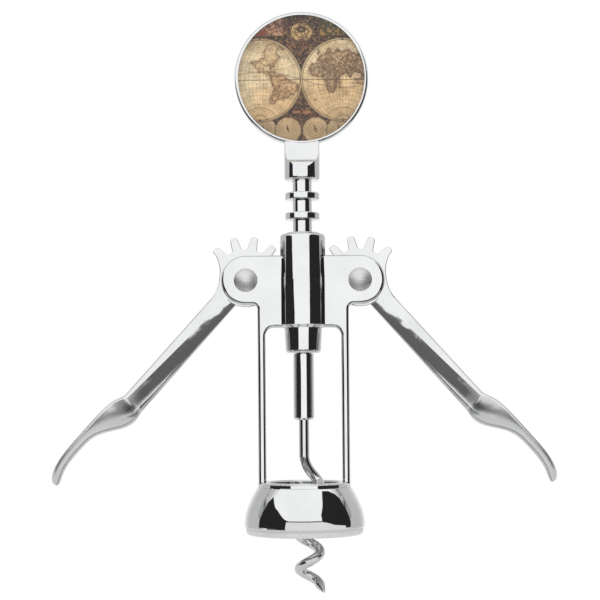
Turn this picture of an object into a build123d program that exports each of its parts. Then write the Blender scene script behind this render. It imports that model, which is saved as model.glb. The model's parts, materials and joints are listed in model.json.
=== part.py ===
from build123d import *

import os
from math import cos, hypot, pi, radians, sin

# A lever corkscrew in millimetres. X runs to the right, Y away from the front and Z up the tool's axis.
# The origin is on the axis, in the plane where a bottle's lip meets the seat inside the bell.
# The levers are modelled half open, 48.2 degrees below level.

# ---- heights along the axis
RING_BOTTOM = -10.0
BELL_BOTTOM = -8.0
BELL_TOP = 5.5
WINDOW_TOP = 51.6
PIVOT_HEIGHT = 65.9
BARREL_TOP = 79.7
SLOT_TOP = 77.0
HEAD_BOTTOM = 95.9
DISC_HEIGHT = 126.7

# ---- frame casting
PIVOT_REACH = 17.1
EAR_RADIUS = 7.4
PLATE_HALF_DEPTH = 2.95
EDGE_ROUND = 1.1
BODY_HALF_WIDTH = 13.7
LEG_WIDTH = 2.4
EAR_CORNER = 1.3
WINDOW_CORNER = 2.4
BARREL_RADIUS = 7.15
BARREL_TOP_RADIUS = 6.85
BARREL_EDGE = 0.9
LEGS_IN_BELL = 3.0
BORE_RADIUS = 5.95
SLOT_WIDTH = 3.5
SLOT_RADIUS = 13.65
RIVET_RADIUS = 2.0
RIVET_HEAD_RADIUS = 3.55
RIVET_HEAD_HEIGHT = 1.7
THROUGH = 20.0

# ---- bell, and the plastic guide inside it
BELL_OUTER = [
    (18.0, -7.5),
    (18.0, -6.2),
    (17.75, -4.3),
    (17.15, -2.15),
    (16.25, 0.0),
    (15.05, 2.4),
    (14.1, 4.0),
]
BELL_LIP_RADIUS = 13.65
BELL_LIP_BOTTOM = 4.15
BELL_EDGE = 0.5
BELL_RIM_STEP = 0.3
BELL_OPENING = 11.2
GUIDE_OPENING = 11.5
GUIDE_BORE = 15.4
GUIDE_SHOULDER = 0.6
GUIDE_TOP_RADIUS = 13.4
GUIDE_CEILING = 2.0
GUIDE_RIM_RADIUS = 17.5
GUIDE_ROUND_HEIGHT = 0.95
GUIDE_ROUND_DEPTH = 1.0
GUIDE_ROUND_MIDDLE = (0.3, 0.27)
LIP_CHAMFER = 0.8
LIP_RADIUS = 14.6

# ---- rack and levers: the rings and the teeth have the same pitch
RACK_PITCH = 6.0
RING_COUNT = 6
TOP_RING = 91.1
CORE_RADIUS = 2.9
RING_RADIUS = 5.2
RING_EDGE = 2.0
RING_ROOT = 2.8
RING_ROUND = 0.35
STUB_RADIUS = 2.2
STUB_TOP = 99.8
TOOTH_ANGLE = 28.1
TOOTH_COUNT = 7
FIRST_TOOTH = 93.9
TOOTH_TIP = 13.2
TOOTH_ROOT = 9.25
TOOTH_TIP_HALF = 1.05
TOOTH_ROOT_HALF = 1.6
TOOTH_CORNER = 0.75
TOOTH_SUNK = 1.5
GULLET_ROUND = 0.8
GEAR_EDGE_ROUND = 0.25
ROOT_MARGIN = 8.0
HUB_RADIUS = 8.0
BACK_EDGE_RADIUS = 7.9
BACK_EDGE_END = 13.0
BACK_EDGE_MIDDLE = 52.0
BACK_EDGE_START = (12.3, 89.4)
GEAR_THICKNESS = 3.0
PIN_CLEARANCE = 0.05
LEVER_DROP = 48.2
ARM_OUTER = 4.25
ARM_BEVEL = 0.35
FLANK_LEAN = 0.16
FLANK_SWELL = 0.36
FOOT_ROUND = 0.8

# Cross-sections of a lever: distance from the pivot, half width at the top, then heights of the top and of
# its lower edge, half width of the foot and its height. Heights are measured across the arm, outwards.
# FLANK_LEAN and FLANK_SWELL, as shares of a flank's height, say how the flank curves between them.
ARM_SECTIONS = [
    (7.0, 1.5, ARM_OUTER, 0.65, 0.7, -2.6),
    (11.0, 1.6, ARM_OUTER, 0.85, 0.75, -2.6),
    (49.5, 3.4, ARM_OUTER, 3.1, 1.35, -2.6),
]
PADDLE_SECTIONS = [
    (49.5, 3.4, ARM_OUTER, 3.1, 1.35, -2.6),
    (51.5, 4.3, 5.0, 4.25, 1.2, -2.75),
    (54.0, 5.7, 5.75, 5.0, 1.2, -2.9),
    (57.0, 6.5, 6.1, 5.35, 1.2, -1.9),
    (60.5, 6.7, 6.2, 5.45, 1.2, 0.45),
    (65.0, 6.7, 6.25, 5.5, 1.1, 3.0),
    (70.0, 6.6, 6.25, 5.5, 1.0, 3.7),
    (75.0, 6.2, 6.1, 5.35, 1.0, 3.65),
    (79.0, 5.2, 5.5, 4.75, 0.9, 3.0),
    (81.5, 3.7, 4.7, 4.0, 0.8, 2.1),
    (82.9, 2.3, 3.9, 3.4, 0.6, 1.7),
    (83.6, 1.1, 3.2, 2.9, 0.4, 2.0),
]

# ---- guide collar, ferrule and worm
JOURNAL_RADIUS = 2.5
JOURNAL_BOTTOM = 40.0
COLLAR_TOP = 55.75
COLLAR_BOTTOM = 43.95
COLLAR_GAP = 0.1
COLLAR_RADIUS = 5.8
COLLAR_END_RADIUS = 5.35
COLLAR_END_ROUND = 1.2
COLLAR_BAND = 2.5
COLLAR_CHAMFER = 0.4
FERRULE_RADIUS = 3.1
FERRULE_BOTTOM = 24.05
FERRULE_CHAMFER = 0.6
FERRULE_TOP_CHAMFER = 0.2
WIRE_RADIUS = 1.5
WIRE_STRAIGHT_END = 13.5
SHANK_TOP = 36.0
HELIX_TOP = 4.8
HELIX_PITCH = 10.1
HELIX_RADIUS = 3.08
HELIX_OFFSET = 1.4
HELIX_TURNS = 3
TIP_LENGTH = 3.2
TIP_RADIUS = 0.5
TIP_LEAN = 0.35

# ---- head and printed disc
HEAD_RADIUS = 5.35
HEAD_ROUND = 0.9
NECK_HALF_DEPTH = 2.0
SCOOP_REACH = 7.0
SCOOP_KINK = (4.15, 101.0)
SCOOP_MIDDLE = (2.57, 102.9)
SCOOP_TOP = 105.3
SCOOP_SLOPE = 1.38
NECK_IN_DISC = 3.0
DISC_RADIUS = 20.1
PICTURE_RADIUS = 19.05
DISC_FRONT = -2.1
DISC_BACK = 2.0
DISC_ROUND = 0.9
RECESS_DEPTH = 1.3
ADHESIVE_THICKNESS = 0.2
PICTURE_THICKNESS = 0.25
LENS_BULGE = 0.5
LENS_EDGE = 0.1
ADHESIVE_MARGIN = 0.4
PICTURE_MARGIN = 0.05

FRONT = Plane.XZ


# ---------------------------------------------------------------- frame casting
def body_outline():
    """The front view of ears, body and legs."""
    leg_bottom = BELL_TOP - LEGS_IN_BELL
    window_half = BODY_HALF_WIDTH - LEG_WIDTH
    with BuildSketch(FRONT) as outline:
        with Locations((0, PIVOT_HEIGHT)):
            SlotCenterToCenter(2 * PIVOT_REACH, 2 * EAR_RADIUS)
        with Locations((0, leg_bottom)):
            Rectangle(
                2 * BODY_HALF_WIDTH, PIVOT_HEIGHT - leg_bottom, align=(Align.CENTER, Align.MIN)
            )
        ear_corners = (
            outline.vertices()
            .filter_by_position(Axis.Y, BELL_TOP, PIVOT_HEIGHT)
            .filter_by(lambda point: abs(abs(point.X) - BODY_HALF_WIDTH) < 0.01)
        )
        fillet(ear_corners, EAR_CORNER)
        with Locations((0, leg_bottom - 1)):
            Rectangle(
                2 * window_half,
                WINDOW_TOP - leg_bottom + 1,
                align=(Align.CENTER, Align.MIN),
                mode=Mode.SUBTRACT,
            )
        window_corners = outline.vertices().filter_by(
            lambda point: abs(point.Y - WINDOW_TOP) < 0.01 and abs(point.X) < window_half + 0.01
        )
        fillet(window_corners, WINDOW_CORNER)
    return outline.sketch


def gear_slot():
    """The space between the two plates, where the gear sectors turn, out through ears and barrel."""
    with BuildPart() as space:
        with BuildSketch(FRONT):
            with Locations((-PIVOT_REACH, PIVOT_HEIGHT), (PIVOT_REACH, PIVOT_HEIGHT)):
                Circle(SLOT_RADIUS)
            with Locations((0, PIVOT_HEIGHT)):
                Rectangle(
                    2 * (PIVOT_REACH + SLOT_RADIUS),
                    SLOT_TOP - PIVOT_HEIGHT,
                    align=(Align.CENTER, Align.MIN),
                )
        extrude(amount=SLOT_WIDTH / 2, both=True)
    return space.part


def bell_metal():
    """The bell as a turned shape, with a stepped bore that holds the plastic guide."""
    with BuildPart() as bell:
        with BuildSketch(FRONT):
            with BuildLine():
                Polyline(
                    (GUIDE_BORE, BELL_BOTTOM),
                    (BELL_OUTER[0][0] - BELL_RIM_STEP, BELL_BOTTOM),
                    (BELL_OUTER[0][0], BELL_BOTTOM + BELL_EDGE),
                )
                Spline(*BELL_OUTER, tangents=[(0.0, 1.0), (-0.62, 1.0)])
                Polyline(
                    BELL_OUTER[-1],
                    (BELL_LIP_RADIUS, BELL_LIP_BOTTOM),
                    (BELL_LIP_RADIUS, BELL_TOP - BELL_EDGE),
                    (BELL_LIP_RADIUS - BELL_EDGE, BELL_TOP),
                    (BELL_OPENING + BELL_EDGE, BELL_TOP),
                    (BELL_OPENING, BELL_TOP - BELL_EDGE),
                    (BELL_OPENING, GUIDE_CEILING),
                    (GUIDE_TOP_RADIUS, GUIDE_CEILING),
                    (GUIDE_BORE, GUIDE_SHOULDER),
                    (GUIDE_BORE, BELL_BOTTOM),
                )
            make_face()
        revolve(axis=Axis.Z)
    return bell.part


with BuildPart() as frame_casting:
    extrude(to_extrude=body_outline(), amount=PLATE_HALF_DEPTH, both=True)
    flat_edges = frame_casting.faces().filter_by(Axis.Y).edges()
    rim_edges = flat_edges.filter_by(lambda edge: edge.center().Z > BELL_TOP - BELL_EDGE)
    fillet(rim_edges, EDGE_ROUND)
    with BuildSketch(FRONT):
        with BuildLine():
            Polyline(
                (0, WINDOW_TOP),
                (BARREL_RADIUS - BARREL_EDGE, WINDOW_TOP),
                (BARREL_RADIUS, WINDOW_TOP + BARREL_EDGE),
                (BARREL_RADIUS, PIVOT_HEIGHT),
                (BARREL_TOP_RADIUS, BARREL_TOP - BARREL_EDGE),
            )
            RadiusArc(
                (BARREL_TOP_RADIUS, BARREL_TOP - BARREL_EDGE),
                (BARREL_TOP_RADIUS - BARREL_EDGE, BARREL_TOP),
                -BARREL_EDGE,
            )
            Polyline(
                (BARREL_TOP_RADIUS - BARREL_EDGE, BARREL_TOP), (0, BARREL_TOP), (0, WINDOW_TOP)
            )
        make_face()
    revolve(axis=Axis.Z)
    add(bell_metal())
    add(gear_slot(), mode=Mode.SUBTRACT)
    with Locations((0, 0, BARREL_TOP)):
        Hole(BORE_RADIUS, depth=BARREL_TOP - WINDOW_TOP + EAR_CORNER)
    with BuildSketch(FRONT):
        with Locations((-PIVOT_REACH, PIVOT_HEIGHT), (PIVOT_REACH, PIVOT_HEIGHT)):
            Circle(RIVET_RADIUS)
    extrude(amount=THROUGH, both=True, mode=Mode.SUBTRACT)
frame_casting.part.label = "frame_casting"

# ---------------------------------------------------------------- bottle guide
with BuildPart() as bottle_guide:
    with BuildSketch(FRONT):
        with BuildLine():
            Polyline(
                (LIP_RADIUS, 0),
                (GUIDE_OPENING, 0),
                (GUIDE_OPENING, GUIDE_CEILING),
                (GUIDE_TOP_RADIUS, GUIDE_CEILING),
                (GUIDE_BORE, GUIDE_SHOULDER),
                (GUIDE_BORE, BELL_BOTTOM),
                (GUIDE_RIM_RADIUS, BELL_BOTTOM),
                (GUIDE_RIM_RADIUS, RING_BOTTOM + GUIDE_ROUND_HEIGHT),
            )
            ThreePointArc(
                (GUIDE_RIM_RADIUS, RING_BOTTOM + GUIDE_ROUND_HEIGHT),
                (GUIDE_RIM_RADIUS - GUIDE_ROUND_MIDDLE[0], RING_BOTTOM + GUIDE_ROUND_MIDDLE[1]),
                (GUIDE_RIM_RADIUS - GUIDE_ROUND_DEPTH, RING_BOTTOM),
            )
            Polyline(
                (GUIDE_RIM_RADIUS - GUIDE_ROUND_DEPTH, RING_BOTTOM),
                (LIP_RADIUS + LIP_CHAMFER, RING_BOTTOM),
                (LIP_RADIUS, RING_BOTTOM + LIP_CHAMFER),
                (LIP_RADIUS, 0),
            )
        make_face()
    revolve(axis=Axis.Z)
bottle_guide.part.label = "bottle_guide"


# ---------------------------------------------------------------- rivets
def rivet(side):
    """A rivet through both plates and a lever, with a domed head on each face."""
    dome = (RIVET_HEAD_RADIUS**2 + RIVET_HEAD_HEIGHT**2) / (2 * RIVET_HEAD_HEIGHT)
    length = PLATE_HALF_DEPTH + RIVET_HEAD_HEIGHT
    axis = Axis((side * PIVOT_REACH, 0, PIVOT_HEIGHT), (0, 1, 0))
    with BuildPart() as pin:
        with BuildSketch(Plane.XY.offset(PIVOT_HEIGHT)):
            with BuildLine(Plane((side * PIVOT_REACH, 0, PIVOT_HEIGHT))):
                Line((0, -length), (0, length))
                RadiusArc((0, length), (RIVET_HEAD_RADIUS, PLATE_HALF_DEPTH), dome)
                Polyline(
                    (RIVET_HEAD_RADIUS, PLATE_HALF_DEPTH),
                    (RIVET_RADIUS, PLATE_HALF_DEPTH),
                    (RIVET_RADIUS, -PLATE_HALF_DEPTH),
                    (RIVET_HEAD_RADIUS, -PLATE_HALF_DEPTH),
                )
                RadiusArc((RIVET_HEAD_RADIUS, -PLATE_HALF_DEPTH), (0, -length), dome)
            make_face()
        revolve(axis=axis)
    return pin.part


left_rivet = rivet(-1)
left_rivet.label = "left_rivet"
right_rivet = rivet(1)
right_rivet.label = "right_rivet"


# ---------------------------------------------------------------- levers
def arm_plane(side, along=0.0):
    """A plane across the arm at a distance from its pivot: x is Y and y points away from the tool."""
    drop = radians(LEVER_DROP)
    out = Vector(side * cos(drop), 0, -sin(drop))
    return Plane(
        Vector(side * PIVOT_REACH, 0, PIVOT_HEIGHT) + out * along, x_dir=(0, side, 0), z_dir=out
    )


def lever_plane(side):
    """The lever's front view: x runs along the arm and y points away from the tool."""
    drop = radians(LEVER_DROP)
    return Plane(
        (side * PIVOT_REACH, 0, PIVOT_HEIGHT),
        x_dir=(side * cos(drop), 0, -sin(drop)),
        z_dir=(0, -side, 0),
    )


def polar(radius, angle):
    """A point at a radius and an angle in degrees."""
    return (radius * cos(radians(angle)), radius * sin(radians(angle)))


def add_tooth(angle):
    """One gear tooth with a rounded tip, standing on the root circle."""
    with BuildSketch(mode=Mode.PRIVATE) as tooth:
        Polygon(
            (TOOTH_ROOT - TOOTH_SUNK, -TOOTH_ROOT_HALF),
            (TOOTH_TIP, -TOOTH_TIP_HALF),
            (TOOTH_TIP, TOOTH_TIP_HALF),
            (TOOTH_ROOT - TOOTH_SUNK, TOOTH_ROOT_HALF),
            align=None,
        )
        fillet(tooth.vertices().group_by(Axis.X)[-1], TOOTH_CORNER)
    with Locations(Rotation(0, 0, angle)):
        add(tooth.sketch)


def gear_sector(side):
    """Hub, root circle and teeth, with the hollow back edge that runs down into the arm."""
    last_tooth = FIRST_TOOTH + TOOTH_ANGLE * (TOOTH_COUNT - 1)
    with BuildPart() as sector:
        with BuildSketch(lever_plane(side)) as outline:
            Circle(HUB_RADIUS)
            with BuildLine():
                start = polar(TOOTH_ROOT, FIRST_TOOTH - ROOT_MARGIN)
                end = polar(TOOTH_ROOT, last_tooth + ROOT_MARGIN)
                middle = polar(TOOTH_ROOT, (FIRST_TOOTH + last_tooth) / 2)
                Line((0, 0), start)
                ThreePointArc(start, middle, end)
                Line(end, (0, 0))
            make_face()
            with BuildLine():
                top = polar(*BACK_EDGE_START)
                middle = polar(BACK_EDGE_RADIUS, BACK_EDGE_MIDDLE)
                Line((0, 0), top)
                ThreePointArc(top, middle, (BACK_EDGE_END, ARM_OUTER))
                Line((BACK_EDGE_END, ARM_OUTER), (0, 0))
            make_face()
            for index in range(TOOTH_COUNT):
                add_tooth(FIRST_TOOTH + index * TOOTH_ANGLE)
            gullets = outline.vertices().filter_by(
                lambda point: abs(hypot(point.X, point.Y) - TOOTH_ROOT) < 0.01
            )
            fillet(gullets, GULLET_ROUND)
        extrude(amount=GEAR_THICKNESS / 2, both=True)
        flat_edges = sector.faces().filter_by(Axis.Y).edges()
        fillet(flat_edges, GEAR_EDGE_ROUND)
    return sector.part


def section(side, along, half, outer, edge, foot, inner):
    """One cross-section of the lever: flat top and sides, a swelling flank below each edge, a round foot."""
    bevel = min(ARM_BEVEL, half / 4)
    flank = (half - FLANK_LEAN * (edge - inner), inner + FLANK_SWELL * (edge - inner))
    foot_edge = inner + foot * FOOT_ROUND
    with BuildSketch(arm_plane(side, along)) as profile:
        with BuildLine():
            Line((bevel - half, outer), (half - bevel, outer))
            Line((half - bevel, outer), (half, outer - bevel))
            Line((half, outer - bevel), (half, edge))
            Bezier((half, edge), flank, (foot, foot_edge))
            ThreePointArc((foot, foot_edge), (0, inner), (-foot, foot_edge))
            Bezier((-foot, foot_edge), (-flank[0], flank[1]), (-half, edge))
            Line((-half, edge), (-half, outer - bevel))
            Line((-half, outer - bevel), (bevel - half, outer))
        make_face()
    return profile.sketch


def lever(side):
    """A lever: gear sector, arm with curved flanks, and a broad thumb paddle at the end."""
    with BuildPart() as blank:
        for stations in (ARM_SECTIONS, PADDLE_SECTIONS):
            for station in stations:
                add(section(side, *station))
            loft()
        add(gear_sector(side))
        with BuildSketch(lever_plane(side)):
            Circle(RIVET_RADIUS + PIN_CLEARANCE)
        extrude(amount=THROUGH, both=True, mode=Mode.SUBTRACT)
    return blank.part


left_lever = lever(-1)
left_lever.label = "left_lever"
right_lever = lever(1)
right_lever.label = "right_lever"

# ---------------------------------------------------------------- rack shaft
with BuildPart() as rack_shaft:
    with BuildSketch(FRONT):
        with BuildLine():
            points = [(0, JOURNAL_BOTTOM), (JOURNAL_RADIUS, JOURNAL_BOTTOM)]
            points += [(JOURNAL_RADIUS, COLLAR_TOP + COLLAR_GAP), (CORE_RADIUS, COLLAR_TOP + COLLAR_GAP)]
            for index in reversed(range(RING_COUNT)):
                centre = TOP_RING - index * RACK_PITCH
                points += [
                    (CORE_RADIUS, centre - RING_ROOT / 2),
                    (RING_RADIUS, centre - RING_EDGE / 2),
                    (RING_RADIUS, centre + RING_EDGE / 2),
                    (CORE_RADIUS, centre + RING_ROOT / 2),
                ]
            points += [(CORE_RADIUS, HEAD_BOTTOM), (STUB_RADIUS, HEAD_BOTTOM), (STUB_RADIUS, STUB_TOP)]
            Polyline(*points, (0, STUB_TOP), close=True)
        make_face()
    revolve(axis=Axis.Z)
    outer_edges = rack_shaft.edges().filter_by(GeomType.CIRCLE)
    fillet(outer_edges.filter_by(lambda edge: abs(edge.radius - RING_RADIUS) < 0.01), RING_ROUND)
rack_shaft.part.label = "rack_shaft"

# ---------------------------------------------------------------- guide collar
with BuildPart() as guide_collar:
    with BuildSketch(FRONT):
        with BuildLine():
            Polyline(
                (JOURNAL_RADIUS + PIN_CLEARANCE, COLLAR_BOTTOM),
                (COLLAR_END_RADIUS - COLLAR_END_ROUND, COLLAR_BOTTOM),
            )
            RadiusArc(
                (COLLAR_END_RADIUS - COLLAR_END_ROUND, COLLAR_BOTTOM),
                (COLLAR_END_RADIUS, COLLAR_BOTTOM + COLLAR_END_ROUND),
                -COLLAR_END_ROUND,
            )
            Polyline(
                (COLLAR_END_RADIUS, COLLAR_BOTTOM + COLLAR_END_ROUND),
                (COLLAR_RADIUS, COLLAR_TOP - COLLAR_BAND),
                (COLLAR_RADIUS, COLLAR_TOP - COLLAR_CHAMFER),
                (COLLAR_RADIUS - COLLAR_CHAMFER, COLLAR_TOP),
                (JOURNAL_RADIUS + PIN_CLEARANCE, COLLAR_TOP),
                (JOURNAL_RADIUS + PIN_CLEARANCE, COLLAR_BOTTOM),
            )
        make_face()
    revolve(axis=Axis.Z)
guide_collar.part.label = "guide_collar"

# ---------------------------------------------------------------- ferrule
with BuildPart() as worm_ferrule:
    ferrule_top = COLLAR_BOTTOM - COLLAR_GAP
    with Locations((0, 0, FERRULE_BOTTOM)):
        Cylinder(
            FERRULE_RADIUS,
            ferrule_top - FERRULE_BOTTOM,
            align=(Align.CENTER, Align.CENTER, Align.MIN),
        )
    chamfer(worm_ferrule.edges().group_by(Axis.Z)[0], FERRULE_CHAMFER)
    chamfer(worm_ferrule.edges().group_by(Axis.Z)[-1], FERRULE_TOP_CHAMFER)
    with Locations((0, 0, ferrule_top)):
        Hole(JOURNAL_RADIUS, depth=ferrule_top - JOURNAL_BOTTOM)
    with Locations((0, 0, SHANK_TOP)):
        Hole(WIRE_RADIUS, depth=SHANK_TOP - FERRULE_BOTTOM)
worm_ferrule.part.label = "worm_ferrule"

# ---------------------------------------------------------------- worm
helix_drop = Vector(0, -2 * pi * HELIX_RADIUS, -HELIX_PITCH).normalized()
helix_start = Vector(HELIX_OFFSET + HELIX_RADIUS, 0, HELIX_TOP)
helix_height = HELIX_PITCH * HELIX_TURNS
with BuildPart() as worm:
    with BuildSketch(Plane.XY.offset(WIRE_STRAIGHT_END)):
        Circle(WIRE_RADIUS)
    extrude(amount=SHANK_TOP - WIRE_STRAIGHT_END)
    with BuildLine() as bend:
        Spline(
            (0, 0, WIRE_STRAIGHT_END),
            helix_start,
            tangents=[(0, 0, -1), helix_drop],
        )
    with BuildSketch(Plane((0, 0, WIRE_STRAIGHT_END), z_dir=(0, 0, -1))):
        Circle(WIRE_RADIUS)
    sweep()
    with BuildLine() as turns:
        Helix(
            pitch=HELIX_PITCH,
            height=helix_height,
            radius=HELIX_RADIUS,
            center=(HELIX_OFFSET, 0, HELIX_TOP - helix_height),
        )
    with BuildSketch(Plane(turns.line @ 0, z_dir=turns.line % 0)):
        Circle(WIRE_RADIUS)
    sweep(is_frenet=True)
    helix_end = helix_start - Vector(0, 0, helix_height)
    with BuildSketch(Plane(helix_end, z_dir=helix_drop)):
        Circle(WIRE_RADIUS)
    tip_way = (helix_drop + Vector(TIP_LEAN, 0, 0)).normalized()
    with BuildSketch(Plane(helix_end + tip_way * TIP_LENGTH, z_dir=tip_way)):
        Circle(TIP_RADIUS)
    loft()
worm.part.label = "worm"

# ---------------------------------------------------------------- head casting
def neck():
    """The round block above the rack, scooped front and back to a flat neck that meets the disc."""
    neck_top = DISC_HEIGHT - DISC_RADIUS + NECK_IN_DISC
    with BuildPart() as block:
        with BuildSketch(Plane.XY.offset(HEAD_BOTTOM)):
            Circle(HEAD_RADIUS)
        extrude(amount=neck_top - HEAD_BOTTOM)
        fillet(block.edges().group_by(Axis.Z)[0], HEAD_ROUND)
        with BuildSketch(Plane.YZ):
            with BuildLine():
                scoop_bottom = SCOOP_KINK[1] - SCOOP_SLOPE * (SCOOP_REACH - SCOOP_KINK[0])
                Line((SCOOP_REACH, scoop_bottom), SCOOP_KINK)
                ThreePointArc(SCOOP_KINK, SCOOP_MIDDLE, (NECK_HALF_DEPTH, SCOOP_TOP))
                Polyline(
                    (NECK_HALF_DEPTH, SCOOP_TOP),
                    (NECK_HALF_DEPTH, neck_top),
                    (SCOOP_REACH, neck_top),
                    (SCOOP_REACH, scoop_bottom),
                )
            make_face()
            mirror(about=Plane.YZ)
        extrude(amount=2 * HEAD_RADIUS, both=True, mode=Mode.SUBTRACT)
    return block.part


with BuildPart() as head_casting:
    with BuildSketch(FRONT.offset(-DISC_BACK)):
        with Locations((0, DISC_HEIGHT)):
            Circle(DISC_RADIUS)
    extrude(amount=DISC_BACK - DISC_FRONT)
    fillet(head_casting.edges().filter_by(GeomType.CIRCLE), DISC_ROUND)
    add(neck())
    with BuildSketch(FRONT.offset(-DISC_FRONT)):
        with Locations((0, DISC_HEIGHT)):
            Circle(PICTURE_RADIUS)
    extrude(amount=-RECESS_DEPTH, mode=Mode.SUBTRACT)
    with Locations(Plane((0, 0, HEAD_BOTTOM), z_dir=(0, 0, -1))):
        Hole(STUB_RADIUS, depth=STUB_TOP - HEAD_BOTTOM)
head_casting.part.label = "head_casting"


# ---------------------------------------------------------------- picture, its adhesive and its lens
def flat_disc(radius, back, thickness):
    """A thin disc in the head's recess: its back face is at Y = back and it is built forwards."""
    with BuildPart() as layer:
        with BuildSketch(FRONT.offset(-back)):
            with Locations((0, DISC_HEIGHT)):
                Circle(radius)
        extrude(amount=thickness)
    return layer.part


recess_floor = DISC_FRONT + RECESS_DEPTH
picture_adhesive = flat_disc(
    PICTURE_RADIUS - ADHESIVE_MARGIN, recess_floor, ADHESIVE_THICKNESS
)
picture_adhesive.label = "picture_adhesive"
picture_back = recess_floor - ADHESIVE_THICKNESS
lens_radius = PICTURE_RADIUS - PICTURE_MARGIN
picture_disc = flat_disc(lens_radius, picture_back, PICTURE_THICKNESS)
picture_disc.label = "picture_disc"

with BuildPart() as picture_lens:
    lens_back = picture_back - PICTURE_THICKNESS
    with BuildSketch(Plane.XY.offset(DISC_HEIGHT)):
        with BuildLine():
            Polyline((0, DISC_FRONT - LENS_BULGE), (0, lens_back), (lens_radius, lens_back))
            Line((lens_radius, lens_back), (lens_radius, DISC_FRONT + LENS_EDGE))
            TangentArc(
                (0, DISC_FRONT - LENS_BULGE), (lens_radius, DISC_FRONT + LENS_EDGE), tangent=(1, 0)
            )
        make_face()
    revolve(axis=Axis((0, 0, DISC_HEIGHT), (0, 1, 0)))
picture_lens.part.label = "picture_lens"

# ---------------------------------------------------------------- one STEP file for each piece
PIECES = [
    frame_casting.part,
    bottle_guide.part,
    left_rivet,
    right_rivet,
    left_lever,
    right_lever,
    head_casting.part,
    rack_shaft.part,
    guide_collar.part,
    worm_ferrule.part,
    worm.part,
    picture_adhesive,
    picture_disc,
    picture_lens.part,
]
os.makedirs("parts", exist_ok=True)
for piece in PIECES:
    export_step(piece, f"parts/{piece.label}.step")
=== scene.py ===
import json
import math

import bpy
import numpy as np
from mathutils import Matrix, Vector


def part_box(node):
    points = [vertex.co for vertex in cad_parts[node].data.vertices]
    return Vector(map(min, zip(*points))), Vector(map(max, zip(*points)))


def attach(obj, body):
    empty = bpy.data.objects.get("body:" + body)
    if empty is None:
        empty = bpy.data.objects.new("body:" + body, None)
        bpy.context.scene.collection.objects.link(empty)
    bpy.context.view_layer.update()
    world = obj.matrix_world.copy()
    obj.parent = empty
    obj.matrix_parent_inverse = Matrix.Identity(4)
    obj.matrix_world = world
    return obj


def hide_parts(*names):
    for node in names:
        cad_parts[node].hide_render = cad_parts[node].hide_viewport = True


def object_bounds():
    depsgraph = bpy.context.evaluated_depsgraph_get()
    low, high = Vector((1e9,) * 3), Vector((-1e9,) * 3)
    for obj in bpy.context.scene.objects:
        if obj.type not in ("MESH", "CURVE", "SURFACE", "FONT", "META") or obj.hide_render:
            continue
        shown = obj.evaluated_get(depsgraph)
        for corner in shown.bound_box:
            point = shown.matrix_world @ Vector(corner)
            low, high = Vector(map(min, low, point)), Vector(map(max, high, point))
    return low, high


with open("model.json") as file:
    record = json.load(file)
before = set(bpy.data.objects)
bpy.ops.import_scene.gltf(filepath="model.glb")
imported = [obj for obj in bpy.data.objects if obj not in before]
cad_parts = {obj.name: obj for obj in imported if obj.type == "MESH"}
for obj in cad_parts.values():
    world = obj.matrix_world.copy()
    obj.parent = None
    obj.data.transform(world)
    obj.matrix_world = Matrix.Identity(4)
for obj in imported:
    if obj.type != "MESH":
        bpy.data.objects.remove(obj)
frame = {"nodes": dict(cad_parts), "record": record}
cad_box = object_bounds()
nodes = frame["nodes"]
MM = 0.001


# ---------------------------------------------------------------- node helpers
MIX_FIRST_COLOUR = 6
MIX_SECOND_COLOUR = 7
MIX_COLOUR_RESULT = 2


def node_maker(tree):
    """Empties a node tree and returns a function that adds a node: links by socket, settings by name."""
    tree.nodes.clear()

    def add(kind, *links, **settings):
        node = tree.nodes.new(kind)
        for name, value in settings.items():
            setattr(node, name, value)
        for socket, value in links:
            if isinstance(value, bpy.types.NodeSocket):
                tree.links.new(value, node.inputs[socket])
            else:
                node.inputs[socket].default_value = value
        return node

    return add


def object_place(add):
    """The place on the object, in its own coordinates."""
    return add("ShaderNodeTexCoord").outputs["Object"]


def maths(add, kind, *values):
    """The result of one math node."""
    return add("ShaderNodeMath", *enumerate(values), operation=kind).outputs[0]


def noise(add, where, scale, detail=2.0, rough=0.5):
    """A noise value between 0 and 1."""
    return add(
        "ShaderNodeTexNoise", ("Vector", where), ("Scale", scale), ("Detail", detail),
        ("Roughness", rough)
    ).outputs[0]


def cells(add, where, scale):
    """The distance to the nearest of many scattered points."""
    return add("ShaderNodeTexVoronoi", ("Vector", where), ("Scale", scale)).outputs["Distance"]


def spread(add, value, low, high, out_low=0.0, out_high=1.0):
    """A value mapped from one range to another, clamped."""
    return add(
        "ShaderNodeMapRange", ("Value", value), ("From Min", low), ("From Max", high),
        ("To Min", out_low), ("To Max", out_high)
    ).outputs[0]


def pick(add, share, first, second):
    """A value between two values."""
    return add("ShaderNodeMix", (0, share), (2, first), (3, second)).outputs[0]


def blend(add, share, first, second, **settings):
    """A colour between two colours."""
    node = add("ShaderNodeMix", (0, share), data_type="RGBA", **settings)
    for index, value in ((MIX_FIRST_COLOUR, first), (MIX_SECOND_COLOUR, second)):
        if isinstance(value, bpy.types.NodeSocket):
            node.id_data.links.new(value, node.inputs[index])
        else:
            node.inputs[index].default_value = (*value, 1.0)
    return node.outputs[MIX_COLOUR_RESULT]


def grey(add, value):
    """A value as a grey colour."""
    return add("ShaderNodeCombineColor", ("Red", value), ("Green", value), ("Blue", value)).outputs[0]


def bump(add, height, distance, normal=None):
    """A normal tilted by a height, on top of another normal if one is given."""
    node = add("ShaderNodeBump", ("Height", height), ("Distance", distance), ("Strength", 1.0))
    if normal is not None:
        node.id_data.links.new(normal, node.inputs["Normal"])
    return node.outputs[0]


def new_material(name):
    """A material with an empty node tree, and the function that adds its nodes."""
    material = bpy.data.materials.new(name)
    material.use_nodes = True
    return material, node_maker(material.node_tree)


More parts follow.
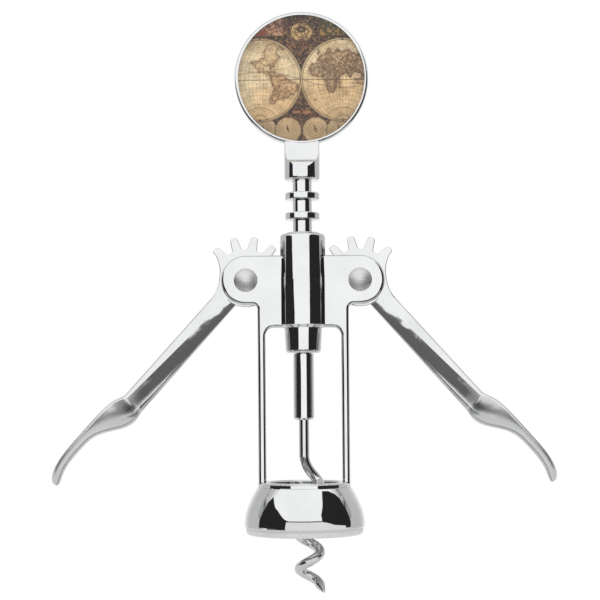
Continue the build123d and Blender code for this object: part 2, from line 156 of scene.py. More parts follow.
def surface(add, *links):
    """Ends a material with a principled surface."""
    shader = add("ShaderNodeBsdfPrincipled", *links)
    add("ShaderNodeOutputMaterial", ("Surface", shader.outputs[0]))


# ---------------------------------------------------------------- materials of the object
# MIDDLE is the range that most noise values fall in
MIDDLE = (0.3, 0.7)
WAVE_SCALE = 260.0
WAVE_DETAIL = 0.4
GRAIN_SCALE = 2600.0
HAZE_SCALE = 90.0
SPECK_SCALE = 700.0
FINE_DEPTH = 0.004 * MM
PIT_SHADE = 0.8
HAZE_GAIN = 2.2
SATIN_FADE = 0.003
SATIN_ROUGHNESS = 0.26
PADDLE_START = 0.051


def plated_metal(name, light, dark, wave, grain, rough, dull=None):
    """Chrome plate on a casting or on wire: slow waves, fine grain, faint haze and pits.

    With dull, the plate turns satin beyond that distance from the axis, as on the thumb paddles.
    """
    material, add = new_material(name)
    where = object_place(add)
    slow = noise(add, where, WAVE_SCALE, WAVE_DETAIL)
    fine = noise(add, where, GRAIN_SCALE, detail=3.0, rough=0.6)
    haze = noise(add, where, HAZE_SCALE, detail=3.0, rough=0.6)
    pits = spread(add, cells(add, where, SPECK_SCALE), 0.02, 0.10)
    colour = blend(add, spread(add, haze, *MIDDLE), dark, light)
    colour = blend(add, pits, tuple(PIT_SHADE * c for c in dark), colour)
    roughness = spread(add, haze, 0.3, 0.75, rough, HAZE_GAIN * rough)
    if dull is not None:
        across = add("ShaderNodeSeparateXYZ", ("Vector", where)).outputs["X"]
        reach = maths(add, "ABSOLUTE", across)
        satin = spread(add, reach, dull - SATIN_FADE, dull + SATIN_FADE, 0.0, SATIN_ROUGHNESS)
        roughness = maths(add, "ADD", roughness, satin)
    normal = bump(add, slow, wave * MM)
    normal = bump(add, fine, grain * MM, normal)
    normal = bump(add, pits, FINE_DEPTH, normal)
    surface(
        add, ("Base Color", colour), ("Metallic", 1.0), ("Roughness", roughness), ("Normal", normal)
    )
    return material


def guide_plastic():
    """Pale plastic that lets a little light in, with a satin mould finish."""
    material, add = new_material("guide_plastic")
    where = object_place(add)
    cloud = noise(add, where, 120.0, detail=3.0)
    grain = noise(add, where, 3000.0)
    surface(
        add,
        ("Base Color", blend(add, spread(add, cloud, *MIDDLE), (0.60, 0.61, 0.60), (0.68, 0.69, 0.68))),
        ("Roughness", spread(add, cloud, *MIDDLE, 0.32, 0.48)),
        ("Normal", bump(add, grain, FINE_DEPTH)),
        ("Subsurface Weight", 0.25),
        ("Subsurface Radius", (2 * MM, 2 * MM, 2 * MM)),
        ("Subsurface Scale", 1.0),
    )
    return material


def printed_card():
    """Ink on card: the drawing comes with the mesh, and paper grain and foxing are added here."""
    material, add = new_material("printed_card")
    where = object_place(add)
    ink = add("ShaderNodeVertexColor", layer_name="ink").outputs[0]
    grain = noise(add, where, 1700.0, detail=3.0, rough=0.7)
    stains = noise(add, where, 260.0, detail=4.0, rough=0.6)
    foxing = spread(add, stains, 0.52, 0.78, 0.0, 0.45)
    colour = blend(add, foxing, ink, (0.30, 0.19, 0.09))
    shade = spread(add, grain, 0.25, 0.75, 0.86, 1.08)
    surface(
        add,
        ("Base Color", blend(add, 1.0, colour, grey(add, shade), blend_type="MULTIPLY")),
        ("Roughness", spread(add, stains, *MIDDLE, 0.45, 0.65)),
        ("Normal", bump(add, grain, FINE_DEPTH)),
    )
    return material


RESIN_IOR = 1.38
HAIRLINE_TURN = 0.5
HAIRLINE_STRETCH = 14.0


def clear_resin():
    """The clear dome over the picture, with the faint haze and hairlines of handling."""
    material, add = new_material("clear_resin")
    where = object_place(add)
    stretched = add(
        "ShaderNodeMapping", ("Vector", where), ("Rotation", (0.0, HAIRLINE_TURN, 0.0)),
        ("Scale", (1.0, 1.0, HAIRLINE_STRETCH))
    ).outputs[0]
    lines = noise(add, stretched, 500.0)
    haze = noise(add, where, 110.0)
    dulled = spread(add, haze, 0.4, 0.8, 0.01, 0.035)
    scratched = spread(add, lines, 0.68, 0.75, 0.0, 0.03)
    surface(
        add,
        ("Base Color", (0.985, 0.98, 0.97, 1.0)),
        ("Roughness", maths(add, "ADD", dulled, scratched)),
        ("IOR", RESIN_IOR),
        ("Transmission Weight", 1.0),
        ("Normal", bump(add, haze, 0.003 * MM)),
    )
    return material


def foam_tape():
    """The white double-sided pad behind the picture."""
    material, add = new_material("foam_tape")
    where = object_place(add)
    bubbles = cells(add, where, 2500.0)
    surface(
        add,
        # the colour is darker where the bump makes hollows in the bubbles: painted shade in the hollows
        ("Base Color", blend(add, bubbles, (0.62, 0.61, 0.57), (0.86, 0.85, 0.82))),
        ("Roughness", 0.8),
        ("Normal", bump(add, bubbles, 0.03 * MM)),
    )
    return material


casting = plated_metal(
    "plated_casting", (0.66, 0.665, 0.67), (0.60, 0.605, 0.61), wave=0.020, grain=0.0009, rough=0.022
)
levers = plated_metal(
    "plated_levers", (0.66, 0.665, 0.67), (0.59, 0.595, 0.60), wave=0.045, grain=0.0009, rough=0.04,
    dull=PADDLE_START
)
rack = plated_metal(
    "plated_rack", (0.67, 0.675, 0.68), (0.61, 0.615, 0.62), wave=0.012, grain=0.0006, rough=0.02
)
rivets = plated_metal(
    "plated_rivets", (0.66, 0.66, 0.66), (0.58, 0.58, 0.58), wave=0.05, grain=0.003, rough=0.30
)
wire = plated_metal(
    "plated_worm", (0.64, 0.64, 0.64), (0.54, 0.54, 0.54), wave=0.010, grain=0.0006, rough=0.05
)
CAD_FINISH = {
    "frame_casting": casting,
    "head_casting": casting,
    "left_lever": levers,
    "right_lever": levers,
    "rack_shaft": rack,
    "guide_collar": rack,
    "worm_ferrule": rack,
    "left_rivet": rivets,
    "right_rivet": rivets,
    "worm": wire,
    "bottle_guide": guide_plastic(),
    "picture_adhesive": foam_tape(),
    "picture_lens": clear_resin(),
}
for name, material in CAD_FINISH.items():
    nodes[name].data.materials.clear()
    nodes[name].data.materials.append(material)


# ---------------------------------------------------------------- the printed map: tools
# The map is drawn in millimetres from the middle of the disc, with screen colours from 0 to 255.
CLOUD_CELLS = 64
CLOUD_SHIFT = 200.0


def smooth_cloud(x, y, size, seed):
    """Smooth random values between 0 and 1 that change over the given size in millimetres."""
    table = np.random.RandomState(seed).rand(CLOUD_CELLS, CLOUD_CELLS)
    gx = x / size + CLOUD_SHIFT
    gy = y / size + CLOUD_SHIFT
    ix = np.floor(gx).astype(int)
    iy = np.floor(gy).astype(int)
    fx = gx - ix
    fy = gy - iy
    fx = fx * fx * (3 - 2 * fx)
    fy = fy * fy * (3 - 2 * fy)

    def corner(dx, dy):
        return table[(ix + dx) % CLOUD_CELLS, (iy + dy) % CLOUD_CELLS]

    low = corner(0, 0) * (1 - fx) + corner(1, 0) * fx
    high = corner(0, 1) * (1 - fx) + corner(1, 1) * fx
    return low * (1 - fy) + high * fy


def outline_distance(points, x, y):
    """Distance to a closed outline, positive inside and negative outside."""
    inside = np.zeros(x.shape, bool)
    nearest = np.full(x.shape, 1e9)
    for (ax, ay), (bx, by) in zip(points, points[1:] + points[:1]):
        dx, dy = bx - ax, by - ay
        share = np.clip(((x - ax) * dx + (y - ay) * dy) / (dx * dx + dy * dy), 0, 1)
        nearest = np.minimum(nearest, np.hypot(x - ax - share * dx, y - ay - share * dy))
        crosses = ((ay > y) != (by > y)) & (x < (bx - ax) * (y - ay) / (by - ay + 1e-12) + ax)
        inside ^= crosses
    return np.where(inside, nearest, -nearest)


def above(value, edge, width):
    """0 below the edge and 1 above it, with a soft step of the given width."""
    return np.clip((value - edge) / width + 0.5, 0, 1)


def within(value, edge, width):
    """1 below the edge and 0 above it, with a soft step of the given width."""
    return above(-value, -edge, width)


def pen(off, half=0.09, soft=0.12):
    """A drawn line: 1 where the distance from its middle is under half its width."""
    return within(abs(off), half, soft)


def oval_reach(x, y, centre_x, centre_y, half_x, half_y):
    """How far out a point lies in an oval: 0 in its middle and 1 on its edge."""
    return np.hypot((x - centre_x) / half_x, (y - centre_y) / half_y)


def paint(colour, mask, shade):
    """Blends a shade into the colours, as strongly as the mask says."""
    colour[...] = colour * (1 - mask[..., None]) + np.array(shade, float) * mask[..., None]


# ---------------------------------------------------------------- the printed map: inks and places
PAPER = (214, 197, 162)
AGED_PAPER = (190, 164, 118)
TAN_SEA = (202, 165, 112)
RIM_SEA = (186, 158, 114)
GRID_INK = (128, 96, 62)
CIRCLE_INK = (110, 80, 52)
COAST_INK = (96, 68, 48)
EQUATOR_INK = (96, 68, 44)
HILL_INK = (104, 74, 50)
NOTE_INK = (120, 90, 60)
FRAME_INK = (88, 62, 42)
POLE_INK = (88, 66, 48)
LAND_PATCH = (150, 112, 68)
LAND_LIGHT = (214, 188, 144)
COAST_SHADE = (148, 100, 64)
COAST_HALO = (136, 104, 68)
DARK_GROUND = (86, 55, 32)
DEEP_BROWN = (52, 30, 15)
GOLD = (158, 120, 72)
RUST = (126, 62, 42)
PINK = (176, 128, 98)
PINK_SHADOW = (112, 70, 52)
PINK_LIGHT = (206, 166, 128)
RED_CLOTH = (160, 66, 48)
GREEN = (92, 82, 50)
OCHRE = (166, 124, 58)
PANEL_LINE = (60, 40, 30)
ORNAMENT_GOLD = (196, 166, 112)
ORNAMENT_LINE = (120, 88, 52)
ORNAMENT_SHADE = (132, 96, 56)
CORE_DARK = (84, 58, 40)
CORE_LIGHT = (150, 112, 66)
DROP_RED = (112, 44, 36)
BAR_TAN = (176, 120, 72)
DIAL_LINE = (96, 66, 44)
DIAL_FACE = (188, 161, 120)
DIAL_RING = (150, 118, 80)
DIAL_HAND = (88, 66, 40)

CORNER_LOW = 12.7
LEFT_CORNER = 5.3
RIGHT_CORNER = 5.6
CORNER_EDGE = 0.8
PANEL_LINE_START = 4.6
ORNAMENT = (0.15, 13.9, 3.2, 2.8)
ORNAMENT_CORE = (0.1, 14.7, 1.35, 0.95)
DROP = (0.2, 10.6, 2.4, 1.15)
BAR_X = 1.55
BAR_Y = -10.25
BAR_HALF = (1.15, 0.34)
DIAL_X = (-11.3, -4.05, 4.2, 11.4)
DIAL_Y = -15.7
DIAL_RADIUS = 4.05
DIAL_FACE_RADIUS = DIAL_RADIUS - 0.2
DIAL_RING_STEP = 0.8
DIAL_TICK_ANGLE = 30
GLOBE_X = 12.45
GLOBE_Y = -0.5
GLOBE_RADIUS = 12.65
GLOBE_EDGE = 0.008
INNER_EDGE = 0.955
RIM_LINES = ((1.0, 0.9), (INNER_EDGE, 0.7), (0.978, 0.25))
POLAR_CIRCLES = (-66.5, -80.0)
LATITUDE_CIRCLES = POLAR_CIRCLES + (-23.5, 23.5, 66.5)
GRID_STEP = 10.0
GRID_LIMIT = 80
COAST_BEND = 0.35
COAST_RAG = 0.3
SUN_PATH_SWING = 2.35
POLE_REACH = 0.965
POLE_DOT = 0.28

NORTH_LAND = [
    (-15.2, 4.8), (-13.8, 3.3), (-12.3, 1.9), (-10.7, 1.4), (-9.3, 0.5), (-9.6, 1.9), (-11.1, 2.6),
    (-10.8, 3.7), (-9.2, 3.9), (-9.0, 2.5), (-8.5, 3.9), (-7.6, 5.3), (-6.4, 6.5), (-7.3, 7.4),
    (-7.0, 9.2), (-8.4, 10.6), (-10.6, 9.8), (-11.5, 7.9), (-11.2, 6.2), (-13.2, 5.2),
]
SOUTH_LAND = [
    (-9.0, 0.8), (-7.0, 1.1), (-4.6, 0.5), (-3.1, -0.9), (-0.8, -1.9), (-1.2, -3.8), (-3.0, -5.3),
    (-5.4, -6.1), (-7.2, -6.8), (-8.3, -7.9), (-9.4, -7.5), (-9.2, -5.0), (-8.3, -2.8), (-9.1, -1.0),
]
AFRICA = [
    (2.3, 2.4), (2.9, 3.8), (4.3, 4.7), (6.0, 4.5), (7.7, 3.9), (9.3, 3.6), (10.2, 2.4), (11.1, 0.9),
    (12.2, 0.8), (11.4, -0.5), (10.5, -2.1), (9.8, -3.8), (8.7, -4.7), (7.7, -3.1), (7.1, -1.4),
    (6.5, 0.0), (4.9, 0.2), (3.3, 0.6),
]
ASIA = [
    (4.7, 5.3), (5.6, 6.5), (7.0, 7.5), (8.4, 8.8), (9.8, 7.7), (10.9, 8.8), (12.2, 8.0), (13.8, 8.7),
    (15.6, 7.7), (17.7, 7.2), (19.6, 5.0), (19.6, 0.2), (17.9, 1.4), (16.6, 1.9), (15.2, 1.2),
    (14.6, -0.2), (14.0, 1.7), (13.0, 1.4), (12.2, 1.2), (10.6, 1.9), (9.5, 3.7), (8.3, 4.2),
    (6.6, 4.9),
]
# each land has its outline, its shade, and how strongly its hills are drawn
LANDS = [
    (NORTH_LAND, (200, 176, 138), 0.35),
    (SOUTH_LAND, (186, 150, 106), 0.8),
    (AFRICA, (152, 131, 105), 0.9),
    (ASIA, (160, 131, 96), 1.0),
]
# each island is an oval, like the ornament: its centre, then half its width and half its height
ISLANDS = [
    (11.6, -2.1, 0.35, 0.9), (16.9, -0.4, 0.8, 0.35), (18.3, 0.2, 0.5, 0.7), (17.6, -1.6, 1.1, 0.3),
    (5.3, 7.9, 0.35, 0.6), (-8.3, 1.9, 0.8, 0.22), (-5.6, 9.9, 0.8, 1.1), (4.0, -6.3, 0.5, 0.3),
]
ISLAND_SHADE = (182, 152, 108)
ISLAND_HILLS = 0.5


# ---------------------------------------------------------------- the printed map: drawing
def draw_ground(colour, x, y, fleck, leaf):
    """The dark ground with gold and dark flecks, and a coloured panel in each upper corner."""
    colour[...] = DARK_GROUND
    paint(colour, above(fleck, 0.60, 0.12) * 0.8, GOLD)
    paint(colour, above(leaf, 0.70, 0.10) * 0.7, RUST)
    paint(colour, within(fleck, 0.34, 0.1) * 0.7, DEEP_BROWN)
    corner = above(y, CORNER_LOW + 0.2 * leaf, 0.3)
    left = corner * above(-x, LEFT_CORNER, CORNER_EDGE)
    right = corner * above(x, RIGHT_CORNER, CORNER_EDGE)
    paint(colour, left, PINK)
    paint(colour, left * above(fleck, 0.58, 0.2) * 0.8, PINK_SHADOW)
    paint(colour, left * within(fleck, 0.32, 0.2) * 0.6, PINK_LIGHT)
    paint(colour, corner * above(-x - 0.4 * y, 4.9, CORNER_EDGE) * above(leaf, 0.5, 0.3), RED_CLOTH)
    paint(colour, right, GREEN)
    paint(colour, right * above(leaf, 0.55, 0.2), OCHRE)
    paint(colour, pen(y - CORNER_LOW, half=0.12) * above(abs(x), PANEL_LINE_START, 0.5), PANEL_LINE)


def draw_ornament(colour, x, y, fleck, leaf):
    """The oval ornament at the top, the drop under it and the two small bars between the globes."""
    oval = oval_reach(x, y, *ORNAMENT) + 0.12 * (leaf - 0.5)
    paint(colour, within(oval, 1.0, 0.05), ORNAMENT_GOLD)
    paint(colour, within(abs(oval - 0.62), 0.05, 0.05), ORNAMENT_LINE)
    paint(colour, within(oval, 1.0, 0.05) * above(fleck, 0.55, 0.15) * 0.8, ORNAMENT_SHADE)
    core = oval_reach(x, y, *ORNAMENT_CORE)
    paint(colour, within(core, 1.0, 0.3), CORE_DARK)
    paint(colour, within(core, 0.55, 0.2), CORE_LIGHT)
    drop = oval_reach(x, y, *DROP)
    paint(colour, within(drop, 1.0, 0.3) * above(leaf, 0.4, 0.4), DROP_RED)
    for side in (-1, 1):
        bar = np.maximum(abs(x - side * BAR_X) / BAR_HALF[0], abs(y - BAR_Y) / BAR_HALF[1])
        paint(colour, within(bar, 1.0, 0.2), BAR_TAN)


def draw_dials(colour, x, y):
    """Small dials along the lower edge, every other one with rings, all with a hand and ticks."""
    for index, centre in enumerate(DIAL_X):
        away = np.hypot(x - centre, y - DIAL_Y)
        paint(colour, within(away, DIAL_RADIUS, 0.1), DIAL_LINE)
        paint(colour, within(away, DIAL_FACE_RADIUS, 0.1), DIAL_FACE)
        if index % 2 == 0:
            rings = np.abs((away - 0.35) % DIAL_RING_STEP - DIAL_RING_STEP / 2)
            paint(colour, within(rings, 0.07, 0.06) * within(away, 2.6, 0.1), DIAL_RING)
        hand = np.abs(x - centre + 0.3 * (y - DIAL_Y)) + 0.22 * np.abs(y - DIAL_Y - 0.5)
        paint(colour, within(hand, 0.3, 0.12), DIAL_HAND)
        turn = np.degrees(np.arctan2(y - DIAL_Y, x - centre))
        ticks = above(np.abs((turn / DIAL_TICK_ANGLE) % 1 - 0.5), 0.45, 0.05)
        paint(colour, ticks * above(away, 3.4, 0.1) * within(away, DIAL_FACE_RADIUS, 0.1), NOTE_INK)


def land_shapes(x, y):
    """Each land's distance to its coast, its shade and the strength of its hills, with ragged coasts."""
    wave_x = smooth_cloud(x, y, 0.8, seed=7) - 0.5
    wave_y = smooth_cloud(x, y, 0.8, seed=9) - 0.5
    rag_x = smooth_cloud(x, y, 0.35, seed=8) - 0.5
    rag_y = smooth_cloud(x, y, 0.35, seed=10) - 0.5
    bent_x = x + 2 * COAST_BEND * wave_x + COAST_RAG * rag_x
    bent_y = y + 2 * COAST_BEND * wave_y + COAST_RAG * rag_y
    shapes = [(outline_distance(outline, bent_x, bent_y), shade, hills) for outline, shade, hills in LANDS]
    for island in ISLANDS:
        inland = 1 - oval_reach(bent_x, bent_y, *island)
        shapes.append((inland * 0.5, ISLAND_SHADE, ISLAND_HILLS))
    return shapes


def draw_sea(colour, globe, away, x, y):
    """A globe's paper, toned by age, tan towards the lower right and darker at the rim."""
    paint(colour, globe, PAPER)
    paint(colour, globe * above(smooth_cloud(x, y, 4.0, seed=12), 0.55, 0.5) * 0.45, AGED_PAPER)
    paint(colour, globe * above(0.3 * x - y, 2.0, 8.0) * 0.5, TAN_SEA)
    paint(colour, globe * above(away, 0.84, 0.3) * 0.35, RIM_SEA)


def draw_land(colour, inner, distance, shade, hills, x, y):
    """One land with its patches, hills and light spots, and its coast drawn as a line and a shadow."""
    land = inner * above(distance, 0.0, 0.1)
    paint(colour, land * 0.85, shade)
    patches = above(smooth_cloud(x, y, 1.1, seed=15), 0.55, 0.3)
    paint(colour, land * patches * 0.45 * hills, LAND_PATCH)
    paint(colour, land * above(smooth_cloud(x, y, 0.42, seed=16), 0.60, 0.12) * 0.6 * hills, HILL_INK)
    paint(colour, land * above(smooth_cloud(x, y, 0.55, seed=17), 0.66, 0.12) * 0.5, LAND_LIGHT)
    paint(colour, land * within(distance, 0.5, 0.5) * 0.35, COAST_SHADE)
    paint(colour, inner * pen(distance, soft=0.1) * 0.8, COAST_INK)
    paint(colour, inner * pen(distance + 0.35, half=0.16, soft=0.2) * 0.2, COAST_HALO)


def grid_line(value, spacing, offset, scale, half):
    """Lines at equal steps of a value, where the scale turns the value's unit into millimetres."""
    off = np.abs((value - offset + spacing / 2) % spacing - spacing / 2)
    return within(off * scale, half, 0.14)


def draw_globe(colour, side, x, y, shapes):
    """One half globe: sea, grid, lands, circles of latitude, the sun's path and a double rim."""
    dx = (x - side * GLOBE_X) / GLOBE_RADIUS
    dy = (y - GLOBE_Y) / GLOBE_RADIUS
    away = np.hypot(dx, dy)
    draw_sea(colour, within(away, 1.0, GLOBE_EDGE), away, x, y)

    inner = within(away, INNER_EDGE, GLOBE_EDGE)
    angle = 2 * np.arctan(np.minimum(away, 0.999))
    latitude = np.degrees(np.arcsin(np.clip(dy * np.sin(angle) / (away + 1e-9), -1, 1)))
    longitude = np.degrees(np.arctan2(dx * np.sin(angle), away * np.cos(angle)))
    stretch = 0.5 * GLOBE_RADIUS * (1 + away**2) * math.pi / 180
    along = stretch * np.cos(np.radians(latitude))
    parallels = grid_line(latitude, GRID_STEP, 0.0, stretch, half=0.05)
    meridians = grid_line(longitude, GRID_STEP, 0.0, along, half=0.05) * (abs(latitude) < GRID_LIMIT)
    paint(colour, inner * parallels * 0.36, GRID_INK)
    paint(colour, inner * meridians * 0.36, GRID_INK)

    for distance, shade, hills in shapes:
        draw_land(colour, inner, distance, shade, hills, x, y)
    for circle in LATITUDE_CIRCLES:
        strength = 0.6 if circle in POLAR_CIRCLES else 0.35
        paint(colour, inner * grid_line(latitude, 999.0, circle, stretch, half=0.09) * strength, CIRCLE_INK)
    paint(colour, inner * pen(y - GLOBE_Y) * 0.75, EQUATOR_INK)
    sun_path = GLOBE_Y - side * SUN_PATH_SWING * np.cos(math.pi / 2 * (x - side * GLOBE_X) / GLOBE_X)
    paint(colour, inner * pen(y - sun_path) * 0.6, HILL_INK)

    # small marks like notes in the sea, the rim's lines and a dot at each pole
    marks = above(smooth_cloud(x, y * 2.2, 0.32, seed=21), 0.80, 0.08)
    patches = above(smooth_cloud(x, y, 2.6, seed=22), 0.45, 0.2)
    paint(colour, inner * marks * patches * 0.6, NOTE_INK)
    for edge, strength in RIM_LINES:
        paint(colour, pen((away - edge) * GLOBE_RADIUS) * strength, FRAME_INK)
    for pole in (-1, 1):
        dot = np.hypot(x - side * GLOBE_X, y - GLOBE_Y - pole * POLE_REACH * GLOBE_RADIUS)
        paint(colour, within(dot, POLE_DOT, 0.2), POLE_INK)


def draw_map(x, y):
    """An old map of two half globes on a dark ornamental ground: its colours at points of the disc."""
    colour = np.empty(x.shape + (3,))
    fleck = smooth_cloud(x, y, 0.42, seed=3)
    leaf = smooth_cloud(x, y, 0.75, seed=4)
    draw_ground(colour, x, y, fleck, leaf)
    draw_ornament(colour, x, y, fleck, leaf)
    draw_dials(colour, x, y)
    shapes = land_shapes(x, y)
    for side in (-1, 1):
        draw_globe(colour, side, x, y, shapes)

    # uneven toning from age; the picture is also darker towards its rim
    tone = 0.93 + 0.12 * smooth_cloud(x, y, 2.2, seed=30) - 0.05 * smooth_cloud(x, y, 0.6, seed=31)
    tone *= 1.0 - 0.10 * above(np.hypot(x, y), 17.0, 5.0)
    return colour * tone[..., None] / 255.0


# ---------------------------------------------------------------- the printed map: its mesh
INK_GAIN = 1.56
INK_CONTRAST = 0.42
PAPER_LIGHT = 0.55
BRIGHTEST_INK = 0.97
LUMINANCE = (0.2126, 0.7152, 0.0722)
CARD_EDGE = (0.75, 0.72, 0.65)
PRINT_LIFT = 0.02 * MM
PRINT_POINTS = 340


def to_linear(colour):
    """Screen colours to linear light, by the sRGB curve."""
    return np.where(colour <= 0.04045, colour / 12.92, ((colour + 0.055) / 1.055) ** 2.4)


def print_light(colour):
    """Linear light of the inks, with stronger contrast, because the resin dulls what is under it."""
    light = to_linear(colour)
    gain = INK_GAIN * (light @ np.array(LUMINANCE) / PAPER_LIGHT) ** INK_CONTRAST
    bright = light * gain[..., None]
    return bright / np.maximum(1.0, bright.max(-1, keepdims=True) / BRIGHTEST_INK)


def picture_mesh():
    """A finely divided disc that carries the drawing, with its rim and its back."""
    low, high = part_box("picture_disc")
    centre_x = (low.x + high.x) / 2
    centre_z = (low.z + high.z) / 2
    radius = (high.x - low.x) / 2

    # a square grid of points, pressed into a disc
    step = np.linspace(-1, 1, PRINT_POINTS)
    a, b = np.meshgrid(step, step)
    across = a * np.sqrt(1 - b * b / 2)
    up = b * np.sqrt(1 - a * a / 2)
    front = np.full(across.shape, low.y - PRINT_LIFT)
    points = np.stack([centre_x + across * radius, front, centre_z + up * radius], -1).reshape(-1, 3)
    index = np.arange(PRINT_POINTS**2).reshape(PRINT_POINTS, PRINT_POINTS)
    faces = np.stack([index[:-1, :-1], index[:-1, 1:], index[1:, 1:], index[1:, :-1]], -1).reshape(-1, 4)

    # the rim's wall, and one face for the back
    rim = np.concatenate([index[0, :-1], index[:-1, -1], index[-1, :0:-1], index[:0:-1, 0]])
    back = points[rim].copy()
    back[:, 1] = high.y
    first = len(points)
    behind = first + np.arange(len(rim))
    walls = np.stack([rim, behind, np.roll(behind, -1), np.roll(rim, -1)], -1)
    everything = np.concatenate([points, back])
    mesh = bpy.data.meshes.new("map_print")
    mesh.from_pydata(everything.tolist(), [], faces.tolist() + walls.tolist() + [behind.tolist()])
    mesh.update()

    ink = np.ones((len(everything), 4))
    x = (everything[:, 0] - centre_x) / MM
    y = (everything[:, 2] - centre_z) / MM
    ink[:, :3] = print_light(draw_map(x, y))
    ink[first:, :3] = CARD_EDGE
    layer = mesh.color_attributes.new(name="ink", type="FLOAT_COLOR", domain="POINT")
    layer.data.foreach_set("color", ink.astype(np.float32).ravel())
    return mesh


picture = bpy.data.objects.new("map_print", picture_mesh())
bpy.context.scene.collection.objects.link(picture)
picture.data.materials.append(printed_card())
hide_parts("picture_disc")
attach(picture, "screw")


# ---------------------------------------------------------------- studio: what the chrome reflects
TIP_LEVEL = cad_box[0].z - 0.3 * MM


def stand_point(azimuth, reach, height):
    """A point at an azimuth in degrees, where 0 is towards the camera."""
    turn = math.radians(azimuth)
    return (reach * math.sin(turn), -reach * math.cos(turn), height)


def add_reflected(name, vertices, steps, material, height=0.0):
    """A curved strip of pairs of vertices, seen only in reflections."""
    faces = [(2 * i, 2 * i + 2, 2 * i + 3, 2 * i + 1) for i in range(steps)]
    mesh = bpy.data.meshes.new(name)
    mesh.from_pydata(vertices, [], faces)
    mesh.materials.append(material)
    strip = bpy.data.objects.new(name, mesh)
    strip.location.z = height
    bpy.context.scene.collection.objects.link(strip)
    strip.visible_camera = False
    strip.visible_diffuse = False
    strip.visible_shadow = False
    strip.visible_transmission = False


def glow(name, level):
    """A card's even brightness."""
    material, add = new_material(name)
    light = add("ShaderNodeEmission", ("Color", (level, level, level, 1.0)), ("Strength", 1.0))
    add("ShaderNodeOutputMaterial", ("Surface", light.outputs[0]))
    return material


def studio_card(name, distance, rows, level):
    """An upright curved card. Rows are (azimuth in degrees, low edge and high edge in millimetres)."""
    azimuths, lows, highs = zip(*rows)
    steps = int(azimuths[-1] - azimuths[0]) + 1
    vertices = []
    for azimuth in np.linspace(azimuths[0], azimuths[-1], steps + 1):
        for heights in (lows, highs):
            height = float(np.interp(azimuth, azimuths, heights)) * MM
            vertices.append(stand_point(azimuth, distance * MM, max(height, TIP_LEVEL)))
    add_reflected(name, vertices, steps, glow(name, level))


CARD_DISTANCE = 230.0
CARD_LOW = -27.0
CARD_DARK = 0.028
studio_card(
    "card_left", CARD_DISTANCE,
    [(-94, CARD_LOW, 50), (-91, CARD_LOW, 135), (-83, CARD_LOW, 173), (-73, CARD_LOW, 159),
     (-57, CARD_LOW, 122), (-38, CARD_LOW, 58), (-36, CARD_LOW, 55), (-29, 38, 42)],
    CARD_DARK
)
studio_card(
    "card_right", CARD_DISTANCE,
    [(32, CARD_LOW, 100), (43, CARD_LOW, 196), (48, CARD_LOW, 240), (56, CARD_LOW, 294),
     (72, CARD_LOW, 250), (83, CARD_LOW, 188), (91, CARD_LOW, 150), (94, CARD_LOW, 60)],
    CARD_DARK
)

# two low strips close to the bell draw the dark line and the light band under it
NEAR_DISTANCE = 30.0
LINE_LOW = -2.9
LINE_HIGH = -2.0
LINE_SHADE = 0.08
BAND_LIGHT = 1.1
studio_card(
    "card_near_line", NEAR_DISTANCE,
    [(-22, LINE_LOW, LINE_HIGH), (24, LINE_LOW, LINE_HIGH)],
    LINE_SHADE
)
studio_card(
    "card_near_low", NEAR_DISTANCE,
    [(-26, CARD_LOW, -7.0), (-25, CARD_LOW, LINE_LOW), (23, CARD_LOW, LINE_LOW),
     (33, CARD_LOW, -4.2), (41, CARD_LOW, -6.0), (60, CARD_LOW, -7.5)],
    BAND_LIGHT
)

GROUND_INNER = 0.032
GROUND_OUTER = 0.285
GROUND_SPREAD = 75
GROUND_LIFT = 0.0002
GROUND_FADE = (0.036, 0.085)
GROUND_SHADES = (0.9, 0.17)
STRIP_FADE = (0.004, 0.018)
STRIP_LIGHT = 0.6
FAR_START = (-0.19, -0.17)
FAR_WIDTH = (0.024, 0.034)
FAR_LIGHT = 0.5


def ground_shade():
    """Dark, but lighter near the stand, along the middle and at the far end of the middle."""
    material, add = new_material("dark_ground")
    where = object_place(add)
    away = add("ShaderNodeVectorMath", (0, where), operation="LENGTH").outputs["Value"]
    place = add("ShaderNodeSeparateXYZ", ("Vector", where)).outputs
    across = maths(add, "ABSOLUTE", place["X"])
    near = spread(add, away, *GROUND_FADE, *GROUND_SHADES)
    middle = spread(add, across, *STRIP_FADE, STRIP_LIGHT, 0.0)
    narrow = spread(add, across, *FAR_WIDTH, 1.0, 0.0)
    far = maths(add, "MULTIPLY", spread(add, place["Y"], *FAR_START, FAR_LIGHT, 0.0), narrow)
    level = maths(add, "MAXIMUM", near, maths(add, "MAXIMUM", middle, far))
    light = add("ShaderNodeEmission", ("Strength", level))
    add("ShaderNodeOutputMaterial", ("Surface", light.outputs[0]))
    return material


ground_points = [
    stand_point(azimuth, reach, 0.0)
    for azimuth in range(-GROUND_SPREAD, GROUND_SPREAD + 1)
    for reach in (GROUND_INNER, GROUND_OUTER)
]
add_reflected("dark_ground", ground_points, 2 * GROUND_SPREAD, ground_shade(), TIP_LEVEL + GROUND_LIFT)


# ---------------------------------------------------------------- studio: surroundings and floor
FRONT_LIGHT = 1.35
SIDE_LIGHT = 0.72
REAR_LIGHT = 0.33
MATT_LIGHT = 0.85


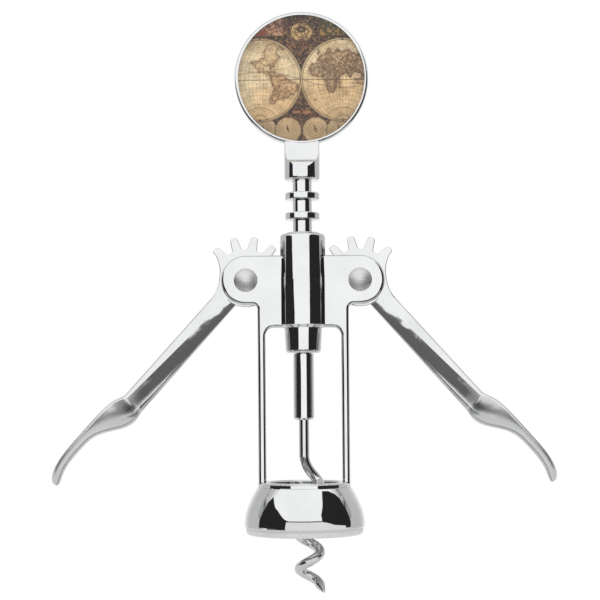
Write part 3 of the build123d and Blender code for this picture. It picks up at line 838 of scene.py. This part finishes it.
def build_world():
    """Soft white light, brighter in front, less bright at the sides, and plain white to the camera."""
    world = bpy.data.worlds.new("studio")
    bpy.context.scene.world = world
    world.use_nodes = True
    add = node_maker(world.node_tree)
    where = add("ShaderNodeTexCoord").outputs["Generated"]
    depth = add("ShaderNodeSeparateXYZ", ("Vector", where)).outputs["Y"]
    sides = spread(add, depth, -0.15, 0.10, FRONT_LIGHT, SIDE_LIGHT)
    rear = spread(add, depth, 0.70, 0.97, 0.0, REAR_LIGHT)
    path = add("ShaderNodeLightPath").outputs
    lit = pick(add, path["Is Diffuse Ray"], maths(add, "ADD", sides, rear), MATT_LIGHT)
    shown = pick(add, path["Is Camera Ray"], lit, 1.0)
    background = add("ShaderNodeBackground", ("Color", grey(add, shown)), ("Strength", 1.0))
    add("ShaderNodeOutputWorld", ("Surface", background.outputs[0]))


build_world()

FLOOR_GLOW = 0.46
FLOOR_GLOW_SEEN = 0.68
FLOOR_RADIUS = 0.33
FLOOR_STEP = 4


def floor_paint():
    """Pale matt floor with a faint mottle, bright enough to meet the white background."""
    material, add = new_material("floor_paint")
    mottle = noise(add, object_place(add), 14.0, detail=3.0)
    colour = blend(add, mottle, (0.36, 0.36, 0.36), (0.40, 0.40, 0.40))
    matt = add("ShaderNodeBsdfDiffuse", ("Color", colour)).outputs[0]
    path = add("ShaderNodeLightPath").outputs
    own = spread(add, path["Is Camera Ray"], 0.0, 1.0, FLOOR_GLOW, FLOOR_GLOW_SEEN)
    lift = add("ShaderNodeEmission", ("Color", (1.0, 1.0, 1.0, 1.0)), ("Strength", own)).outputs[0]
    both = add("ShaderNodeAddShader", (0, matt), (1, lift))
    add("ShaderNodeOutputMaterial", ("Surface", both.outputs[0]))
    return material


# the floor lies under the worm's lowest place, with the levers up
joints = {joint["name"]: joint for joint in frame["record"]["behaviour"]["joints"]}
floor_level = TIP_LEVEL + joints["rack_slide"]["range_m"][0]
floor_mesh = bpy.data.meshes.new("floor")
floor_ring = [
    (FLOOR_RADIUS * math.cos(turn), FLOOR_RADIUS * math.sin(turn), floor_level)
    for turn in map(math.radians, range(0, 360, FLOOR_STEP))
]
floor_mesh.from_pydata(floor_ring, [], [tuple(range(len(floor_ring)))])
floor_mesh.materials.append(floor_paint())
floor = bpy.data.objects.new("floor", floor_mesh)
bpy.context.scene.collection.objects.link(floor)

# ---------------------------------------------------------------- lamp and camera
LAMP_PLACE = (-0.1, -0.25, 0.75)
LAMP_TILT = (18, -8, 0)
CAMERA_PLACE = (-1.05, -446, 30)
CAMERA_PITCH = 1.54
CAMERA_ROLL = -0.45

lamp_data = bpy.data.lights.new("overhead", "AREA")
lamp_data.shape = "RECTANGLE"
lamp_data.size = 0.7
lamp_data.size_y = 0.5
lamp_data.energy = 3.0
lamp = bpy.data.objects.new("overhead", lamp_data)
lamp.location = LAMP_PLACE
lamp.rotation_euler = [math.radians(angle) for angle in LAMP_TILT]
lamp.visible_glossy = False
bpy.context.scene.collection.objects.link(lamp)

camera_data = bpy.data.cameras.new("camera")
camera_data.sensor_width = 36.0
camera_data.lens = 89.2
camera_data.shift_y = 0.1
camera_data.clip_start = 0.01
camera = bpy.data.objects.new("camera", camera_data)
bpy.context.scene.collection.objects.link(camera)
place = Matrix.Translation([value * MM for value in CAMERA_PLACE])
look = Matrix.Rotation(math.radians(90 + CAMERA_PITCH), 4, "X")
roll = Matrix.Rotation(math.radians(CAMERA_ROLL), 4, "Z")
camera.matrix_world = place @ look @ roll
bpy.context.scene.camera = camera
bpy.context.scene.view_settings.view_transform = "Standard"
